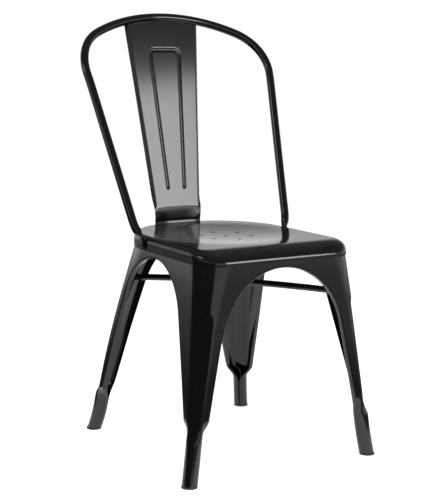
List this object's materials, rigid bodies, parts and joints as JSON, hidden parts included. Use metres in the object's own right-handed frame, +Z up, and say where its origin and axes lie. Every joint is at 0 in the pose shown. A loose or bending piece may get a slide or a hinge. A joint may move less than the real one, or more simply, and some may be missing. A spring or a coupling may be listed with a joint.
{
  "type": "metal bistro chair",
  "caption": "Stacking side chair of pressed steel sheet: dished seat pan with drain holes, fluted channel legs joined by arches, bent tube back hoop and grooved back panel.",
  "frame": {"origin": "centre of the bounding box at floor level", "axes": "+Z up, -Y towards the front of the seat, +X to the right of someone who looks at the front of the chair"},
  "size_m": [0.4498, 0.494, 0.855],
  "materials": {
    "powder_coat": "glossy black powder coat",
    "fastener_black": "black painted steel",
    "foot_rubber": "matt black rubber"
  },
  "bodies": {
    "root": {"seat_pan": "powder_coat", "leg_front_left": "powder_coat", "leg_front_right": "powder_coat", "leg_rear_left": "powder_coat", "leg_rear_right": "powder_coat", "back_hoop": "powder_coat", "back_splat": "powder_coat", "cross_brace_upper": "powder_coat", "cross_brace_lower": "powder_coat", "rubber_foot_front_left": "foot_rubber", "rubber_foot_front_right": "foot_rubber", "rubber_foot_rear_left": "foot_rubber", "rubber_foot_rear_right": "foot_rubber", "hoop_bolts": "fastener_black", "hoop_washers": "fastener_black", "hoop_nuts": "fastener_black"}
  },
  "joints": []
}
